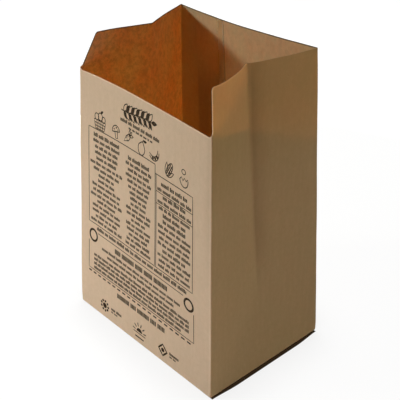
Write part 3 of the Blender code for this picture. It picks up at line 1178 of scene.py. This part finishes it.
def kraft_material(name, inner, lap=False):
    """Uncoated kraft: cloudy formation, drawn-out fibres and dark flecks, with painted light and shade in places."""
    material, nodes, links, shader = nodes_of(name)
    place = nodes.new("ShaderNodeTexCoord").outputs["Object"]
    split = nodes.new("ShaderNodeSeparateXYZ")
    links.new(place, split.inputs["Vector"])
    axes = split.outputs
    clouds = noise_node(nodes, links, place, 0.0042, 4.0, 1.1, 0.75)
    streaks = noise_node(nodes, links, place, 0.0030, 3.0, 14.0)
    fibres = noise_node(nodes, links, place, 0.0006, 3.0, 4.0, 0.65)
    flecks = noise_node(nodes, links, place, 0.0014, 1.0, 1.8)

    paper = PAPER_INSIDE_SHADED if inner else PAPER
    dark, pale = colour(paper, DARKER), colour(paper, PALER)
    tone = mixed_colour(nodes, links, clouds, dark, pale, 0.30, 0.70)
    tone = mixed_colour(nodes, links, streaks, tone, dark, 0.40, 0.75, 0.70)
    tone = mixed_colour(nodes, links, fibres, tone, pale, 0.50, 0.80, 0.55)
    tone = mixed_colour(nodes, links, flecks, tone, colour(paper, FLECK), 0.74, 0.80, 0.55)
    if inner:
        # painted shade along the lap's edge
        tone = scaled(nodes, links, tone, seam_shade_share(nodes, links, axes, SEAM_SHADE_SHARE))
    else:
        # painted shade behind the right gusset's fold
        tone = scaled(nodes, links, tone, fold_shade_share(nodes, links, axes))
        # painted light tint high on the right gusset
        tone = tinted(nodes, links, tone, UPPER_LIGHT_TINT, upper_right(nodes, links, axes))
        # painted highlight and painted shade beside the front panel's right crease
        tone = scaled(nodes, links, tone, math_node(nodes, links, "ADD", marked(nodes, CREASE_LIGHT), 1.0))
    # painted shade and painted highlights along the edges
    edge = painted_edge_light(nodes, links)
    links.new(scaled(nodes, links, tone, edge), shader.inputs["Base Color"])
    shader.inputs["Roughness"].default_value = 0.80
    shader.inputs["Specular IOR Level"].default_value = 0.15

    bump = nodes.new("ShaderNodeBump")
    bump.inputs["Strength"].default_value = 0.35
    bump.inputs["Distance"].default_value = 0.00012
    links.new(fibres, bump.inputs["Height"])
    links.new(bump.outputs["Normal"], shader.inputs["Normal"])

    through = nodes.new("ShaderNodeBsdfTranslucent")
    if lap:
        through.inputs["Color"].default_value = colour(LAP_THROUGH)
    elif inner:
        patches = noise_node(nodes, links, place, 0.020, 3.0, 1.2, 0.6)
        glow = mixed_colour(nodes, links, patches, colour(THROUGH_RED), colour(THROUGH_YELLOW), 0.35, 0.65)
        cloudy = ramp_node(nodes, links, clouds, 0.35, 0.62, THICK, THIN)
        evened = math_node(nodes, links, "MULTIPLY", marked(nodes, ON_BACK), BACK_EVENNESS)
        glow = scaled(nodes, links, glow, blended(nodes, links, evened, cloudy, (THICK + THIN) / 2))
        # light through the back panel: partly the lap, partly painted shade
        glow = scaled(nodes, links, glow, lap_and_shade_share(nodes, links, axes))
        glow = scaled(nodes, links, glow, seam_shade_share(nodes, links, axes, SEAM_SHADE_GLOW))
        # painted light tint on the left gusset's back half
        glow = tinted(nodes, links, glow, BACK_HALF_LIGHT_TINT, marked(nodes, ON_LEFT_BACK_HALF))
        links.new(scaled(nodes, links, glow, edge), through.inputs["Color"])
    else:
        through.inputs["Color"].default_value = colour(THROUGH)
    blend = nodes.new("ShaderNodeMixShader")
    blend.inputs["Fac"].default_value = LAP_THROUGH_SHARE if lap else THROUGH_SHARE
    links.new(shader.outputs["BSDF"], blend.inputs[1])
    links.new(through.outputs["BSDF"], blend.inputs[2])
    links.new(blend.outputs["Shader"], nodes["Material Output"].inputs["Surface"])
    return material


def cut_edge_material():
    """Short fibres along the cut: rougher than the faces, with painted shade or a painted highlight along the edges.
    """
    material, nodes, links, shader = nodes_of("cut_edge")
    place = nodes.new("ShaderNodeTexCoord").outputs["Object"]
    fibres = noise_node(nodes, links, place, 0.0005, 3.0)
    tone = mixed_colour(nodes, links, fibres, colour(PAPER, 0.80), colour(PAPER, 1.10), 0.3, 0.6)
    links.new(scaled(nodes, links, tone, painted_edge_light(nodes, links)), shader.inputs["Base Color"])
    shader.inputs["Roughness"].default_value = 0.9
    shader.inputs["Specular IOR Level"].default_value = 0.10
    return material


def ink_material():
    """Thin dark ink that lets the fibres show through unevenly."""
    material, nodes, links, shader = nodes_of("printing_ink")
    place = nodes.new("ShaderNodeTexCoord").outputs["Object"]
    worn = noise_node(nodes, links, place, 0.0007, 3.0, 2.0, 0.6)
    tone = mixed_colour(nodes, links, worn, colour(INK), colour(INK_WORN), 0.60, 0.80)
    links.new(tone, shader.inputs["Base Color"])
    shader.inputs["Roughness"].default_value = 0.80
    shader.inputs["Specular IOR Level"].default_value = 0.06
    return material


# The floor is white to the camera and keeps the object's shadows
FLOOR_GREY = (0.80, 0.79, 0.77)
SHADOW_PART = 0.12
NEAR_WHITE = 0.96
DISTANT = (0.30, 0.62)
SOFT_REACH = 0.060
SOFT_DEPTH = 0.10
# a painted contact shadow along the foot of the shade side
CONTACT_WIDTH = 0.0031
CONTACT_TAPER = (0.040, 0.0740)
CONTACT_SHADOW = (0.030, 0.018, 0.009, 1.0)


def painted_contact_shadow(nodes, links):
    """A painted shadow: 1 along the foot of the shade side, narrower towards its ends."""
    place = nodes.new("ShaderNodeSeparateXYZ")
    links.new(nodes.new("ShaderNodeTexCoord").outputs["Object"], place.inputs["Vector"])
    x, y = place.outputs["X"], place.outputs["Y"]
    from_middle = math_node(nodes, links, "ABSOLUTE", y)
    reach = ramp_node(nodes, links, from_middle, *CONTACT_TAPER, WIDTH / 2 + CONTACT_WIDTH, WIDTH / 2 + 0.0012)
    left = math_node(nodes, links, "SUBTRACT", reach, x)
    edge = ramp_node(nodes, links, left, 0.0, 0.0006)
    under = ramp_node(nodes, links, x, WIDTH / 2 - 0.012, WIDTH / 2 - 0.010)
    beside = within(nodes, links, y, -HALF_DEPTH + 0.0010, HALF_DEPTH - 0.0015, 0.001)
    return math_node(nodes, links, "MULTIPLY", math_node(nodes, links, "MULTIPLY", edge, under), beside)


def grey_mix(nodes, links, factor, level, dark):
    mix = nodes.new("ShaderNodeMix")
    mix.data_type = "RGBA"
    mix.inputs[6].default_value = (level, level, level, 1.0)
    mix.inputs[7].default_value = dark
    links.new(factor, mix.inputs["Factor"])
    return mix.outputs[2]


def seen_directly(nodes, links):
    """1 for camera rays and for mirror or glass rays, 0 for rays that light a matt surface."""
    path = nodes.new("ShaderNodeLightPath").outputs
    matt = math_node(nodes, links, "SUBTRACT", 1.0, path["Is Diffuse Ray"])
    clear = math_node(nodes, links, "MULTIPLY", path["Is Transmission Ray"], matt)
    shiny = math_node(nodes, links, "MAXIMUM", path["Is Glossy Ray"], clear)
    return math_node(nodes, links, "MAXIMUM", path["Is Camera Ray"], shiny)


def floor_material():
    """White, with a faint soft shadow and a thin painted shadow along the shade side."""
    material, nodes, links, shader = nodes_of("pale_floor")
    nodes.remove(shader)
    contact = painted_contact_shadow(nodes, links)
    near = nodes.new("ShaderNodeAmbientOcclusion")
    near.inputs["Distance"].default_value = SOFT_REACH
    near.samples = 16
    soft = ramp_node(nodes, links, near.outputs["AO"], 0.5, 1.0, NEAR_WHITE - SOFT_DEPTH, NEAR_WHITE)
    far = nodes.new("ShaderNodeVectorMath")
    far.operation = "LENGTH"
    links.new(nodes.new("ShaderNodeTexCoord").outputs["Object"], far.inputs[0])
    distant = ramp_node(nodes, links, far.outputs["Value"], *DISTANT, 0.0, 1.0)
    soft = math_node(nodes, links, "MAXIMUM", soft, distant)

    seen = nodes.new("ShaderNodeEmission")
    links.new(grey_mix(nodes, links, contact, 1.0, CONTACT_SHADOW), seen.inputs["Color"])
    links.new(soft, seen.inputs["Strength"])
    shadowed = nodes.new("ShaderNodeBsdfDiffuse")
    links.new(grey_mix(nodes, links, contact, SHADOW_PART, (0.0, 0.0, 0.0, 1.0)), shadowed.inputs["Color"])
    look = nodes.new("ShaderNodeAddShader")
    links.new(seen.outputs["Emission"], look.inputs[0])
    links.new(shadowed.outputs["BSDF"], look.inputs[1])

    lit = nodes.new("ShaderNodeBsdfDiffuse")
    lit.inputs["Color"].default_value = colour(FLOOR_GREY)
    both = nodes.new("ShaderNodeMixShader")
    links.new(seen_directly(nodes, links), both.inputs["Fac"])
    links.new(lit.outputs["BSDF"], both.inputs[1])
    links.new(look.outputs["Shader"], both.inputs[2])
    links.new(both.outputs["Shader"], nodes["Material Output"].inputs["Surface"])
    return material


# Stage
FLOOR_SIZE = 8.0
FLOOR_GAP = 0.0002


def floor():
    mesh = bmesh.new()
    bmesh.ops.create_grid(mesh, x_segments=1, y_segments=1, size=FLOOR_SIZE / 2)
    bmesh.ops.translate(mesh, verts=mesh.verts[:], vec=(0, 0, -FLOOR_GAP))
    new_object("floor", mesh, floor_material())


def world():
    scene_world = bpy.data.worlds.new("studio")
    bpy.context.scene.world = scene_world
    scene_world.use_nodes = True
    nodes, links = scene_world.node_tree.nodes, scene_world.node_tree.links
    fill = nodes["Background"]
    fill.inputs["Color"].default_value = (1.0, 0.95, 0.88, 1.0)
    fill.inputs["Strength"].default_value = 0.02
    white = nodes.new("ShaderNodeBackground")
    white.inputs["Color"].default_value = (1.0, 1.0, 1.0, 1.0)
    mix = nodes.new("ShaderNodeMixShader")
    links.new(seen_directly(nodes, links), mix.inputs["Fac"])
    links.new(fill.outputs["Background"], mix.inputs[1])
    links.new(white.outputs["Background"], mix.inputs[2])
    links.new(mix.outputs["Shader"], nodes["World Output"].inputs["Surface"])


def area_light(name, place, aim, width, height, power, tint):
    """A soft light at a place, facing a point."""
    data = bpy.data.lights.new(name, "AREA")
    data.shape = "RECTANGLE"
    data.size, data.size_y = width, height
    data.energy = power
    data.color = tint
    lamp = bpy.data.objects.new(name, data)
    lamp.location = place
    lamp.rotation_mode = "QUATERNION"
    lamp.rotation_quaternion = (Vector(place) - Vector(aim)).to_track_quat("Z", "Y")
    bpy.context.scene.collection.objects.link(lamp)


# Each light: where it stands, the point it faces, its width and height, its power and its tint
MIDDLE = (0.0, 0.0, 0.144)
SHADE_SIDE = (0.1, 0.0, 0.13)
SUNNY = (1.0, 1.0, 0.85)
COOL = (0.90, 0.92, 1.0)
AMBER = (1.0, 0.91, 0.56)
OLIVE = (0.98, 0.99, 0.60)
ROSY = (1.0, 0.90, 0.94)
NEUTRAL = (1.0, 1.0, 1.0)
LIGHTS = {
    "key": ((-0.978, -1.166, 0.638), MIDDLE, 0.28, 0.12, 9.6, SUNNY),
    "key_front": ((-0.714, -1.344, 0.638), MIDDLE, 0.28, 0.12, 2.8, SUNNY),
    "table_left": ((-0.30, -0.45, 0.03), (-0.03, -0.07, 0.11), 0.5, 0.16, 2.35, COOL),
    "table_front": ((0.06, -0.30, 0.03), (0.06, -0.07, 0.03), 0.35, 0.10, 0.17, ROSY),
    "table_behind": ((-0.60, 0.18, 0.03), (-0.09, 0.0, 0.16), 0.5, 0.2, 3.4, SUNNY),
    "right": ((1.489, 0.130, 0.10), SHADE_SIDE, 1.0, 0.16, 5.0, AMBER),
    "right_behind": ((0.697, 1.312, 0.16), SHADE_SIDE, 1.0, 0.16, 2.3, OLIVE),
    "behind": ((-0.55, 1.45, 0.10), (-0.02, 0.05, 0.13), 1.0, 0.16, 10.0, NEUTRAL),
}


def lights():
    for name, (place, aim, width, height, power, tint) in LIGHTS.items():
        area_light(name, place, aim, width, height, power, tint)


# Camera, fitted to the photograph's 400-pixel frame
IMAGE_SIDE = 400
FOCAL_PIXELS = 692.99
SENSOR = 36.0
YAW = math.radians(47.017)
PITCH = math.radians(27.473)
ROLL = math.radians(0.757)
DISTANCE = 0.65756
TARGET_HEIGHT = 0.13386
TARGET_RIGHT = 0.002951


def camera():
    back = Vector((math.sin(YAW) * math.cos(PITCH), -math.cos(YAW) * math.cos(PITCH), math.sin(PITCH)))
    right = Vector((math.cos(YAW), math.sin(YAW), 0))
    up = back.cross(right)
    rolled_right = right * math.cos(ROLL) + up * math.sin(ROLL)
    rolled_up = up * math.cos(ROLL) - right * math.sin(ROLL)
    place = Vector((0, 0, TARGET_HEIGHT)) + right * TARGET_RIGHT + back * DISTANCE
    data = bpy.data.cameras.new("camera")
    data.sensor_width = SENSOR
    data.lens = FOCAL_PIXELS * SENSOR / IMAGE_SIDE
    data.clip_start = 0.01
    view = bpy.data.objects.new("camera", data)
    rows = [(rolled_right[axis], rolled_up[axis], back[axis], place[axis]) for axis in range(3)]
    view.matrix_world = Matrix([*rows, (0, 0, 0, 1)])
    bpy.context.scene.collection.objects.link(view)
    bpy.context.scene.camera = view


def add(piece):
    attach(piece, "root")
    return piece


bpy.context.scene.view_settings.view_transform = "Standard"
camera()
outside = kraft_material("kraft_outside", inner=False)
inside = kraft_material("kraft_inside", inner=True)
ink = ink_material()
bag = add(sheet(outside, inside, cut_edge_material()))
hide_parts("paper_bag")
add(flap("front", FLAP, outside))
add(flap("back", 0.0, outside))
lap = kraft_material("kraft_lap", inner=True, lap=True)
add(back_seam(lap))
add(text_print(ink))
add(frames_print(ink))
add(motifs_print(ink))
floor()
world()
lights()
